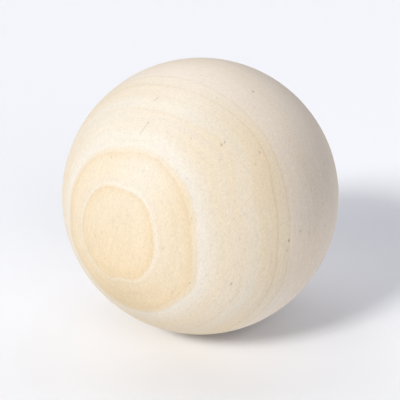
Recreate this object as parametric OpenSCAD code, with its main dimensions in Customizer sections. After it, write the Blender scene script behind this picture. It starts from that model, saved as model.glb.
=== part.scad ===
// Croquet ball: one solid ball turned from a single block of pale, bare wood.
// Millimetres, +Z up. The origin is the centre of the ball, which meets the ground at its lowest point.

/* [Ball] */
// Diameter of the finished ball: 92 is the regulation size, and small garden sets use 70
ball_d = 92; // [70:1:92]

/* [Hidden] */

// Segments round the ball, fine enough for a smooth preview
ball_segments = 180;
bare_wood = [0.90, 0.80, 0.66];

// The whole ball is one piece: it has no core, shell, seam, plug or insert
module ball() {
    color(bare_wood)
        sphere(d = ball_d, $fn = ball_segments);
}

ball();
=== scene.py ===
"""A bare wooden croquet ball: its turned surface, its growth rings and pores, and a pale studio."""
import math
from collections import namedtuple

import bmesh
import bpy
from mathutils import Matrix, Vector, noise


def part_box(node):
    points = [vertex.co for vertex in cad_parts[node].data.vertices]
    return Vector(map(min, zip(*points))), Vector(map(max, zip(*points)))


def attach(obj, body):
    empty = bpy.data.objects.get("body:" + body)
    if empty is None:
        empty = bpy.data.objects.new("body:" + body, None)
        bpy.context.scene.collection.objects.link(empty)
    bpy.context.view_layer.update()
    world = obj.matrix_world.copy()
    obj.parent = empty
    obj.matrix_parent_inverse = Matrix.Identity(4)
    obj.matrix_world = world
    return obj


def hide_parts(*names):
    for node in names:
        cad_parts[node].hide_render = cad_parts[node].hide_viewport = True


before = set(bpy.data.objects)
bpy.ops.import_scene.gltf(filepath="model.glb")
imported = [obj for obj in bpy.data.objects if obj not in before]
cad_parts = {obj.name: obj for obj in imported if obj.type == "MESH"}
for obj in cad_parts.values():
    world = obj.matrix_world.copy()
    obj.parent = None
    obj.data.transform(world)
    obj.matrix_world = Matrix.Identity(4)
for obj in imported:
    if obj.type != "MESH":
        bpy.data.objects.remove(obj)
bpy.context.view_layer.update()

# --- Sizes and places, in metres unless a name says mm ---------------------------------------------
MM = 0.001
LOW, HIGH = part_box("ball")
CENTRE = (LOW + HIGH) / 2
RADIUS = (HIGH.z - LOW.z) / 2
RADIUS_MM = RADIUS / MM

# The log that the ball was cut from. POLE points from the ball's centre to the pith, far outside it,
# and the rings meet the surface round POLE as ovals. GRAIN runs along the fibres.
POLE = Vector((-0.59, -0.80, 0.08)).normalized()
ACROSS = Vector((0.20, -0.03, 0.98)).cross(POLE).normalized()
GRAIN = POLE.cross(ACROSS).normalized()
PITH_DISTANCE_MM = 190.0

# Drying shrinks wood most across the grain along the rings, less through them, and hardly lengthwise.
SHRINK_ALONG_RINGS_MM = 0.08
SHRINK_THROUGH_RINGS_MM = 0.05


def direction(azimuth, elevation):
    """Unit vector; azimuth 0 faces the viewer and grows to the viewer's right, in degrees."""
    a, e = math.radians(azimuth), math.radians(elevation)
    return Vector((math.sin(a) * math.cos(e), -math.cos(a) * math.cos(e), math.sin(e)))


# --- Surface marks: open vessels and nicks, each a short groove along the grain -----------------------
# Azimuth and elevation in whole degrees, as in direction(); dark is how brown the groove looks, 0 to 1.
Mark = namedtuple("Mark", "azimuth elevation length_mm width_mm depth_mm dark")
MARKS = [
    Mark(-34, 48, 4.0, 0.28, 0.10, 0.30),
    Mark(-33, 51, 0.4, 0.50, 0.16, 0.45),
    Mark(-39, 62, 1.8, 0.36, 0.12, 0.42),
    Mark(54, 64, 0.3, 0.60, 0.16, 0.62),
    Mark(79, 62, 0.9, 0.36, 0.10, 0.30),
    Mark(11, 44, 0.4, 0.50, 0.14, 0.60),
    Mark(13, 45, 0.5, 0.40, 0.12, 0.42),
    Mark(-5, 47, 0.3, 0.40, 0.08, 0.28),
    Mark(30, 39, 0.4, 0.48, 0.12, 0.45),
    Mark(26, 35, 0.3, 0.40, 0.08, 0.30),
    Mark(36, 3, 0.4, 0.52, 0.15, 0.75),
    Mark(42, 5, 0.5, 0.42, 0.10, 0.45),
    Mark(58, 11, 0.4, 0.48, 0.10, 0.40),
    Mark(59, 1, 0.6, 0.44, 0.10, 0.35),
    Mark(15, 8, 0.4, 0.40, 0.08, 0.25),
    Mark(13, 16, 0.4, 0.40, 0.08, 0.25),
    Mark(12, -11, 0.7, 0.50, 0.14, 0.55),
    Mark(20, -38, 0.6, 0.44, 0.12, 0.40),
    Mark(-11, -15, 1.2, 0.34, 0.09, 0.32),
    Mark(-4, -10, 0.4, 0.44, 0.10, 0.45),
    Mark(-41, 5, 0.4, 0.40, 0.08, 0.28),
    Mark(118, 22, 3.1, 0.34, 0.14, 0.45),
    Mark(97, -18, 0.6, 0.45, 0.12, 0.45),
    Mark(142, 48, 0.5, 0.50, 0.13, 0.50),
    Mark(171, 5, 2.4, 0.32, 0.12, 0.40),
    Mark(-152, 33, 0.7, 0.42, 0.12, 0.45),
    Mark(-128, -9, 3.6, 0.30, 0.12, 0.38),
    Mark(-96, 17, 0.5, 0.45, 0.12, 0.42),
    Mark(-84, 41, 1.6, 0.34, 0.12, 0.35),
    Mark(-160, -41, 0.7, 0.45, 0.12, 0.45),
]


def mark_line(mark):
    """The two ends of a mark on the sphere, in mm from the centre."""
    middle = direction(mark.azimuth, mark.elevation) * RADIUS_MM
    normal = middle.normalized()
    run = (GRAIN - normal * GRAIN.dot(normal)).normalized()
    half = run * mark.length_mm / 2
    return middle - half, middle + half


MARK_LINES = [(mark, *mark_line(mark)) for mark in MARKS]


def distance_to_line(point, start, end):
    """Shortest distance from a point to a straight stretch."""
    run = end - start
    t = max(0.0, min(1.0, (point - start).dot(run) / run.length_squared))
    return (point - start - run * t).length


def groove(point):
    """How deep the marks cut at a point on the sphere, in mm, and how dark they look, 0 to 1."""
    depth, dark = 0.0, 0.0
    for mark, start, end in MARK_LINES:
        reach = mark.length_mm / 2 + 2 * mark.width_mm
        if (point - (start + end) / 2).length > reach:
            continue
        falloff = math.exp(-((distance_to_line(point, start, end) / (mark.width_mm / 2)) ** 2))
        depth = max(depth, mark.depth_mm * falloff)
        dark = max(dark, mark.dark * falloff)
    return depth, dark


# --- The ball's mesh ---------------------------------------------------------------------------------
CELLS = 112
REFINE_REACH_MM = 1.1
REFINE_CUTS = 3
WAVE_MM = 0.02              # how deep the faint waves left by sanding go
WAVE_FREQUENCY = 7.0


def cube_sphere(bm, cells):
    """Adds a unit sphere made of near-square faces: a cube's six faces, bent onto the sphere."""
    corners = {}

    def corner(*steps):
        if steps not in corners:
            bent = [math.tan((2 * n / cells - 1) * math.pi / 4) for n in steps]
            corners[steps] = bm.verts.new(Vector(bent).normalized())
        return corners[steps]

    for axis in range(3):
        for side in (0, cells):
            for i in range(cells):
                for j in range(cells):
                    ring = [(i, j), (i + 1, j), (i + 1, j + 1), (i, j + 1)]
                    if side == 0:
                        ring.reverse()
                    loop = []
                    for a, b in ring:
                        steps = [a, b]
                        steps.insert(axis, side)
                        if axis == 1:
                            steps = [b, side, a]
                        loop.append(corner(*steps))
                    bm.faces.new(loop)


def refine_near_marks(bm):
    """Splits the faces round each mark finely enough to hold its groove."""
    near = set()
    for face in bm.faces:
        middle = face.calc_center_median().normalized() * RADIUS_MM
        for mark, start, end in MARK_LINES:
            if (middle - start).length > mark.length_mm + REFINE_REACH_MM:
                continue
            if distance_to_line(middle, start, end) < REFINE_REACH_MM:
                near.update(face.edges)
                break
    bmesh.ops.subdivide_edges(bm, edges=list(near), cuts=REFINE_CUTS, use_grid_fill=True)
    bmesh.ops.triangulate(bm, faces=[f for f in bm.faces if len(f.verts) > 4])


def turned_surface(way):
    """The surface point in a direction from the centre, in mm, and its mark darkness.

    The waves fade out towards the top and the bottom, where the ball meets the floor.
    """
    depth, dark = groove(way * RADIUS_MM)
    radius = RADIUS_MM - depth
    radius -= SHRINK_ALONG_RINGS_MM * way.dot(ACROSS) ** 2
    radius -= SHRINK_THROUGH_RINGS_MM * way.dot(POLE) ** 2
    radius -= WAVE_MM * (0.5 + 0.5 * noise.noise(way * WAVE_FREQUENCY)) * (1 - way.z ** 2)
    return way * radius, dark


def make_ball():
    bm = bmesh.new()
    cube_sphere(bm, CELLS)
    refine_near_marks(bm)
    darkness = bm.verts.layers.float.new("open_pore")
    for vert in bm.verts:
        point, dark = turned_surface(vert.co.normalized())
        vert.co = CENTRE + point * MM
        vert[darkness] = dark
    bmesh.ops.recalc_face_normals(bm, faces=bm.faces)
    for face in bm.faces:
        face.smooth = True
    mesh = bpy.data.meshes.new("turned_ball")
    bm.to_mesh(mesh)
    bm.free()
    ball = bpy.data.objects.new("turned_ball", mesh)
    bpy.context.scene.collection.objects.link(ball)
    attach(ball, "root")
    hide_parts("ball")
    return ball


# --- Wood: a solid figure, so the rings, pores and end grain run right through the ball -----------------
# Each ring ends at a depth below the pole, measured away from the pith, and fades into the next one
# over edge_mm. Tone runs from 0, pale, to 1, honey: at the ring's start, at each (depth, tone) on the
# way, and at its end. A darker latewood line of the given width and strength closes it. Some of the
# rings are faint false rings, where growth only slowed for a while.
Ring = namedtuple("Ring", "start_tone on_the_way end_mm end_tone edge_mm line_mm line")
GROWTH_RINGS = [
    Ring(0.64, [(1.6, 0.67)], 2.7, 0.92, 0.2, 0.25, 0.18),
    Ring(0.18, [(3.1, 0.30)], 3.4, 0.48, 0.1, 0.2, 0.14),
    Ring(0.50, [(4.6, 0.66)], 5.7, 0.69, 0.1, 0.2, 0.08),
    Ring(0.68, [(6.2, 0.71)], 7.8, 0.95, 0.3, 0.6, 0.20),
    Ring(0.74, [], 8.95, 0.56, 0.6, 0.3, 0.10),
    Ring(0.00, [(10.3, 0.12), (14.0, 0.52), (16.4, 0.50)], 17.4, 0.40, 0.2, 0.25, 0.06),
    Ring(0.49, [(18.6, 0.52)], 19.8, 0.60, 0.3, 0.45, 0.09),
    Ring(0.40, [(23.2, 0.42), (24.4, 0.64)], 27.7, 0.63, 0.3, 0.35, 0.08),
    Ring(0.60, [], 29.5, 0.74, 0.3, 0.4, 0.36),
    Ring(0.58, [(31.0, 0.56)], 33.7, 0.48, 0.3, 0.35, 0.50),
    Ring(0.31, [(39.0, 0.24)], 47.0, 0.30, 1.5, 0.8, 0.04),
    Ring(0.25, [(54.0, 0.18)], 60.0, 0.27, 1.5, 0.8, 0.05),
    Ring(0.14, [(64.0, 0.24)], 70.5, 0.46, 0.8, 0.8, 0.08),
    Ring(0.10, [(74.0, 0.36)], 79.0, 0.55, 0.6, 0.6, 0.10),
    Ring(0.16, [(82.0, 0.44)], 86.5, 0.66, 0.5, 0.5, 0.14),
    Ring(0.30, [(89.0, 0.56)], 91.6, 0.72, 0.4, 0.4, 0.10),
]
CORE_TONE = 0.45            # inside the last ring, at the far side of the ball

# The rings aren't quite true: the pith leans, and the rings swell out or in round places on the surface.
LEAN = 0.06
LEAN_FULL_MM = 8.0
DEEPEST_MM = 2 * RADIUS_MM + 2.0
WOBBLE_MM = 0.20
WOBBLE_SCALE = 0.22
WOBBLE_ALONG = 0.35         # how fast the wobble changes along the grain, against across it
Swell = namedtuple("Swell", "azimuth elevation reach_mm lift_mm")
SWELLS = [
    Swell(-54, 27, 14, -0.7),
    Swell(-66, 3, 10, 0.8),
    Swell(-61, -22, 14, 1.3),
    Swell(-33, -14, 7, 0.5),
    Swell(-26, 19, 8, -0.3),
    Swell(-2, -12, 10, -0.9),
    Swell(-22, 38, 13, -0.7),
    Swell(-2, 31, 9, -0.6),
    Swell(-2, 9, 8, 0.5),
    Swell(-30, 68, 26, 1.9),
    Swell(26, 46, 20, -2.5),
    Swell(44, 54, 20, 2.5),
    Swell(52, 34, 14, 2.5),
    Swell(34, -16, 18, -1.2),
    Swell(16, -15, 11, -0.9),
    Swell(15, 22, 14, 1.4),
    Swell(120, 15, 34, 2.0),
    Swell(175, -20, 30, -1.8),
    Swell(-120, 30, 28, 1.4),
]

PALE = (0.800, 0.740, 0.640)
HONEY = (0.790, 0.632, 0.411)
OUTER_PALE = (0.800, 0.718, 0.640)
OUTER_STARTS_MM = 31.0
OUTER_FULL_MM = 37.0
LATEWOOD = (0.640, 0.490, 0.310)
END_GRAIN = (0.770, 0.685, 0.565)
PORE_BROWN = (0.330, 0.200, 0.110)

END_GRAIN_STARTS = 0.75     # distance along the grain from the centre, in ball radii
END_GRAIN_AMOUNT = 0.5

# Fine figure: how fast each kind changes along the grain, against across it, and how strongly it shows
FIBRE_ALONG = 0.12
SHORT_FIBRE_ALONG = 0.4
FINE_LINE_ALONG = 0.03
FINE_LINE_SHADE = 0.055
CLOUD_SHADE = 0.035
SPECK_SHADE = 0.18
STREAK_SHADE = 0.06
FLECK_STARTS = 0.38         # noise levels between which a pore fleck fades in
FLECK_FULL = 0.62
FLECK_DARKNESS = 0.20

# Sanded surface, with the relief in mm
ROUGHNESS = 0.64
SPECK_ROUGHNESS = 0.12
LINE_ROUGHNESS = -0.08
SPECULAR = 0.3
LINE_RELIEF_MM = 0.03
SPECK_RELIEF_MM = 0.03
FLECK_RELIEF_MM = -0.06

# Broad patches: tone below 0 is paler and above 0 more honey-coloured. The last column,
# brightness, is darker below 0 and lighter above 0. In the four patches that face the front it is
# painted light and shade: painted shade low on the left and down the right side, a painted
# highlight on the top, and painted light on the lower right rim. In the two on the far side it is
# the wood's own brightness.
Patch = namedtuple("Patch", "azimuth elevation reach_mm tone shade")
PATCHES = [
    Patch(-62, 48, 36, -0.36, 0.0),
    Patch(-24, 32, 17, -0.40, 0.0),
    Patch(-16, 67, 24, -0.38, 0.0),
    Patch(-36, 60, 13, 0.18, 0.0),
    Patch(30, 30, 16, 0.10, 0.0),
    Patch(-37, -18, 27, 0.34, 0.0),
    Patch(20, -23, 18, -0.16, 0.0),
    Patch(48, -6, 22, 0.12, 0.0),
    # painted shade, low on the left front
    Patch(-36, -27, 18, 0.0, -0.09),
    # painted shade down the right side; its tone is the wood's own
    Patch(56, 22, 26, 0.04, -0.12),
    # painted highlight on the top
    Patch(-30, 85, 26, 0.0, 0.09),
    # painted light on the lower right rim; its tone is the wood's own
    Patch(30, -48, 32, -0.08, 0.10),
    Patch(150, 30, 34, -0.20, 0.03),
    Patch(-140, -10, 30, 0.18, -0.04),
]


class Graph:
    """Builds a material's nodes, with plain numbers or other nodes' outputs as inputs."""

    def __init__(self, material):
        self.tree = material.node_tree

    def plug(self, socket, source):
        if isinstance(source, bpy.types.NodeSocket):
            self.tree.links.new(source, socket)
        else:
            socket.default_value = source

    def node(self, kind, inputs=(), **settings):
        made = self.tree.nodes.new(kind)
        for name, value in settings.items():
            setattr(made, name, value)
        for name, source in dict(inputs).items():
            self.plug(made.inputs[name], source)
        return made

    def math(self, operation, first, second=0.0, clamp=False):
        made = self.node("ShaderNodeMath", operation=operation, use_clamp=clamp)
        self.plug(made.inputs[0], first)
        self.plug(made.inputs[1], second)
        return made.outputs[0]

    def dot(self, vector, axis):
        made = self.node("ShaderNodeVectorMath", operation="DOT_PRODUCT")
        self.plug(made.inputs[0], vector)
        made.inputs[1].default_value = axis
        return made.outputs["Value"]

    def hump(self, point, centre, reach):
        """1 at a centre, fading smoothly to 0 at a distance from it."""
        gap = self.node("ShaderNodeVectorMath", operation="DISTANCE")
        self.plug(gap.inputs[0], point)
        gap.inputs[1].default_value = centre
        return self.step(gap.outputs["Value"], reach, 0.0)

    def sum(self, *parts):
        total = parts[0]
        for part in parts[1:]:
            total = self.math("ADD", total, part)
        return total

    def combine(self, x, y, z):
        return self.node("ShaderNodeCombineXYZ", {"X": x, "Y": y, "Z": z}).outputs[0]

    def noise(self, vector, scale, detail=2.0, roughness=0.5):
        """Noise from about -1 to 1."""
        inputs = {"Vector": vector, "Scale": scale, "Detail": detail, "Roughness": roughness}
        made = self.node("ShaderNodeTexNoise", inputs)
        return self.math("MULTIPLY", self.math("SUBTRACT", made.outputs["Fac"], 0.5), 2.0)

    def step(self, value, low, high):
        """Rises smoothly from 0 at low to 1 at high."""
        made = self.node("ShaderNodeMapRange", interpolation_type="SMOOTHSTEP")
        self.plug(made.inputs["Value"], value)
        made.inputs["From Min"].default_value = low
        made.inputs["From Max"].default_value = high
        return made.outputs["Result"]

    def ramp(self, value, stops):
        """A grey colour ramp through (place, brightness) stops, with places from 0 to 1."""
        made = self.node("ShaderNodeValToRGB", {"Fac": value})
        elements = made.color_ramp.elements
        for index, (place, level) in enumerate(stops):
            element = elements[index] if index < len(elements) else elements.new(place)
            element.position = place
            element.color = (level, level, level, 1.0)
        return made.outputs["Color"]

    def profile(self, depth, stops):
        """A level read through (depth in mm, level) stops by two ramps, as one ramp holds only 32."""
        share = self.math("DIVIDE", depth, DEEPEST_MM)
        places = [(stop / DEEPEST_MM, level) for stop, level in stops]
        join = len(places) // 2
        near, far = self.ramp(share, places[:join + 1]), self.ramp(share, places[join:])
        return self.math("SUBTRACT", self.math("ADD", near, far), places[join][1])

    def mix(self, amount, first, second, blend="MIX"):
        made = self.node("ShaderNodeMix", data_type="RGBA", blend_type=blend)
        self.plug(made.inputs["Factor"], amount)
        for socket, colour in ((made.inputs[6], first), (made.inputs[7], second)):
            self.plug(socket, colour if isinstance(colour, bpy.types.NodeSocket) else (*colour, 1.0))
        return made.outputs[2]


def tone_stops():
    """Pale to honey through the rings, by depth."""
    stops, start = [], 0.0
    for ring in GROWTH_RINGS:
        stops.append((start, ring.start_tone))
        stops.extend(ring.on_the_way)
        stops.append((ring.end_mm - ring.edge_mm / 2, ring.end_tone))
        start = ring.end_mm + ring.edge_mm / 2
    stops.append((start, CORE_TONE))
    return stops


def line_stops():
    """The latewood line that closes each ring, by depth."""
    stops = []
    for ring in GROWTH_RINGS:
        stops.append((ring.end_mm - ring.edge_mm / 2 - ring.line_mm, 0.0))
        stops.append((ring.end_mm - ring.edge_mm / 2, ring.line))
        stops.append((ring.end_mm + ring.edge_mm / 2, 0.0))
    return stops


def ring_depth(g, place, up, along, across):
    """Depth of each point below the pole's ring, in mm, measured out from the pith."""
    height = g.math("SUBTRACT", PITH_DISTANCE_MM + RADIUS_MM, up)
    from_pith = g.math("SQRT", g.sum(g.math("POWER", height, 2.0), g.math("POWER", across, 2.0)))
    depth = g.math("SUBTRACT", from_pith, PITH_DISTANCE_MM)
    growing = g.math("DIVIDE", depth, LEAN_FULL_MM, clamp=True)
    lean = g.math("MULTIPLY", g.math("MULTIPLY", across, growing), -LEAN)
    parts = [depth, lean]
    for swell in SWELLS:
        middle = direction(swell.azimuth, swell.elevation) * RADIUS
        parts.append(g.math("MULTIPLY", g.hump(place, middle, swell.reach_mm * MM), swell.lift_mm))
    log = g.combine(up, g.math("MULTIPLY", along, WOBBLE_ALONG), across)
    parts.append(g.math("MULTIPLY", g.noise(log, WOBBLE_SCALE), WOBBLE_MM))
    return g.sum(*parts)


def patched(g, place, kind):
    """What the patches add at a point: kind names the column, tone or brightness, and brightness is
    partly painted light and shade.
    """
    parts = [0.0]
    for patch in PATCHES:
        if getattr(patch, kind):
            middle = direction(patch.azimuth, patch.elevation) * RADIUS
            hump = g.hump(place, middle, patch.reach_mm * MM)
            parts.append(g.math("MULTIPLY", hump, getattr(patch, kind)))
    return g.sum(*parts)


def bare_wood():
    material = bpy.data.materials.new("bare_wood")
    material.use_nodes = True
    g = Graph(material)
    shader = g.tree.nodes["Principled BSDF"]

    # Where each point lies in the log, in mm
    place = g.node("ShaderNodeTexCoord").outputs["Object"]
    axes = (POLE, GRAIN, ACROSS)
    up, along, across = (g.math("MULTIPLY", g.dot(place, axis), 1 / MM) for axis in axes)
    fibre = g.combine(up, g.math("MULTIPLY", along, FIBRE_ALONG), across)
    short_fibre = g.combine(up, g.math("MULTIPLY", along, SHORT_FIBRE_ALONG), across)
    depth = ring_depth(g, place, up, along, across)

    # Colour: pale to honey through each ring, latewood lines, and greyer wood further from the pith
    tone = g.math("ADD", g.profile(depth, tone_stops()), patched(g, place, "tone"))
    line = g.profile(depth, line_stops())
    pale = g.mix(g.step(depth, OUTER_STARTS_MM, OUTER_FULL_MM), PALE, OUTER_PALE)
    colour = g.mix(tone, pale, HONEY)
    colour = g.mix(line, colour, LATEWOOD)
    along_share = g.math("ABSOLUTE", g.math("DIVIDE", along, RADIUS_MM))
    end_grain = g.step(along_share, END_GRAIN_STARTS, 1.0)
    colour = g.mix(g.math("MULTIPLY", end_grain, END_GRAIN_AMOUNT), colour, END_GRAIN)

    # Brightness: the patches, partly painted light and shade, then fine lines that follow the rings, soft
    # clouds, specks and streaks
    slow_along = g.math("MULTIPLY", along, FINE_LINE_ALONG)
    slow_across = g.math("MULTIPLY", across, FINE_LINE_ALONG)
    fine_lines = g.noise(g.combine(depth, slow_along, slow_across), 1.1, 4.0, 0.65)
    clouds = g.noise(short_fibre, 0.09, 3.0, 0.55)
    specks = g.noise(short_fibre, 2.3, 2.0, 0.8)
    streaks = g.noise(fibre, 1.2, 2.0, 0.6)
    shade = g.sum(1.0, patched(g, place, "shade"),
                  g.math("MULTIPLY", fine_lines, FINE_LINE_SHADE),
                  g.math("MULTIPLY", clouds, CLOUD_SHADE),
                  g.math("MULTIPLY", specks, SPECK_SHADE),
                  g.math("MULTIPLY", streaks, STREAK_SHADE))
    colour = g.mix(1.0, colour, g.combine(shade, shade, shade), "MULTIPLY")

    # Pores: scattered short dark flecks along the grain, and the open marks in the mesh
    flecks = g.step(g.noise(short_fibre, 1.1, 1.0), FLECK_STARTS, FLECK_FULL)
    open_pore = g.node("ShaderNodeAttribute", attribute_name="open_pore").outputs["Fac"]
    dark = g.math("MAXIMUM", g.math("MULTIPLY", flecks, FLECK_DARKNESS), open_pore)
    colour = g.mix(dark, colour, PORE_BROWN)
    g.plug(shader.inputs["Base Color"], colour)

    # Sanded surface: dense latewood is smoother and stands a little proud, pores are sunk
    rough = g.sum(ROUGHNESS, g.math("MULTIPLY", specks, SPECK_ROUGHNESS),
                  g.math("MULTIPLY", line, LINE_ROUGHNESS))
    g.plug(shader.inputs["Roughness"], rough)
    shader.inputs["Specular IOR Level"].default_value = SPECULAR
    relief = g.sum(g.math("MULTIPLY", line, LINE_RELIEF_MM),
                   g.math("MULTIPLY", specks, SPECK_RELIEF_MM),
                   g.math("MULTIPLY", flecks, FLECK_RELIEF_MM))
    bump = g.node("ShaderNodeBump", {"Height": relief, "Strength": 1.0, "Distance": MM})
    g.plug(shader.inputs["Normal"], bump.outputs["Normal"])
    return material


# --- Studio ----------------------------------------------------------------------------------------
CAMERA_ELEVATION = 25.0
CAMERA_FIELD = 20.0
BALL_SHARE = 0.6927         # the ball's width as a share of the picture's
AIM_RIGHT = -0.003          # where the picture's centre falls, in ball radii from the ball's centre
AIM_DOWN = 0.028
FLOOR_SIZE = 30.0
FLOOR_COLOUR = (0.917, 0.928, 0.955)
FLOOR_ROUGHNESS = 0.8
FLOOR_SPECULAR = 0.2
BACKDROP_COLOUR = (0.900, 0.907, 0.945)
FILL_STRENGTH = 0.01

KEY_COLOUR = (1.020, 1.005, 0.975)
FILL_COLOUR = (0.965, 0.975, 1.035)

# Soft suns: where each stands, as in direction(), its angular width in degrees, and its strength
Lamp = namedtuple("Lamp", "azimuth elevation width strength")
LAMPS = {
    "key": Lamp(-43, 36, 13, 2.05),
    "key_side": Lamp(-60, 36, 16, 0.30),
    "front": Lamp(24, 30, 44, 0.85),
    "back_right": Lamp(125, 48, 55, 0.65),
    "back": Lamp(180, 68, 40, 0.30),
    "back_low": Lamp(-150, 8, 40, 0.25),
    "back_left": Lamp(-130, 53, 50, 0.70),
}


def make_camera():
    data = bpy.data.cameras.new("camera")
    data.sensor_width = 36.0
    data.angle = math.radians(CAMERA_FIELD)
    camera = bpy.data.objects.new("camera", data)
    bpy.context.scene.collection.objects.link(camera)
    back = direction(0.0, CAMERA_ELEVATION)
    up = direction(0.0, CAMERA_ELEVATION + 90.0)
    half_angle = math.atan(BALL_SHARE * math.tan(data.angle / 2))
    camera.location = CENTRE + back * RADIUS / math.sin(half_angle)
    aim = CENTRE + (Vector((AIM_RIGHT, 0.0, 0.0)) - up * AIM_DOWN) * RADIUS
    camera.rotation_euler = (aim - camera.location).to_track_quat("-Z", "Y").to_euler()
    bpy.context.scene.camera = camera


def make_lamps():
    for name, lamp in LAMPS.items():
        data = bpy.data.lights.new(name, "SUN")
        data.angle = math.radians(lamp.width)
        data.energy = lamp.strength
        data.color = KEY_COLOUR if name.startswith("key") else FILL_COLOUR
        sun = bpy.data.objects.new(name, data)
        bpy.context.scene.collection.objects.link(sun)
        towards = direction(lamp.azimuth, lamp.elevation)
        sun.location = towards
        sun.rotation_euler = (-towards).to_track_quat("-Z", "Y").to_euler()


def make_floor():
    bm = bmesh.new()
    bmesh.ops.create_grid(bm, x_segments=1, y_segments=1, size=FLOOR_SIZE / 2)
    mesh = bpy.data.meshes.new("floor")
    bm.to_mesh(mesh)
    bm.free()
    floor = bpy.data.objects.new("floor", mesh)
    floor.location.z = LOW.z
    bpy.context.scene.collection.objects.link(floor)
    material = bpy.data.materials.new("pale_floor")
    material.use_nodes = True
    shader = material.node_tree.nodes["Principled BSDF"]
    shader.inputs["Base Color"].default_value = (*FLOOR_COLOUR, 1.0)
    shader.inputs["Roughness"].default_value = FLOOR_ROUGHNESS
    shader.inputs["Specular IOR Level"].default_value = FLOOR_SPECULAR
    mesh.materials.append(material)


def make_world():
    """A pale backdrop to the camera, and only a little light all round on the ball."""
    world = bpy.data.worlds.new("studio")
    world.use_nodes = True
    nodes, links = world.node_tree.nodes, world.node_tree.links
    fill = nodes["Background"]
    fill.inputs["Color"].default_value = (*BACKDROP_COLOUR, 1.0)
    fill.inputs["Strength"].default_value = FILL_STRENGTH
    backdrop = nodes.new("ShaderNodeBackground")
    backdrop.inputs["Color"].default_value = (*BACKDROP_COLOUR, 1.0)
    seen = nodes.new("ShaderNodeLightPath").outputs["Is Camera Ray"]
    choose = nodes.new("ShaderNodeMixShader")
    links.new(seen, choose.inputs[0])
    links.new(fill.outputs[0], choose.inputs[1])
    links.new(backdrop.outputs[0], choose.inputs[2])
    links.new(choose.outputs[0], nodes["World Output"].inputs["Surface"])
    bpy.context.scene.world = world


make_camera()
make_lamps()
make_floor()
make_world()
ball = make_ball()
ball.data.materials.append(bare_wood())
bpy.context.scene.view_settings.view_transform = "Standard"
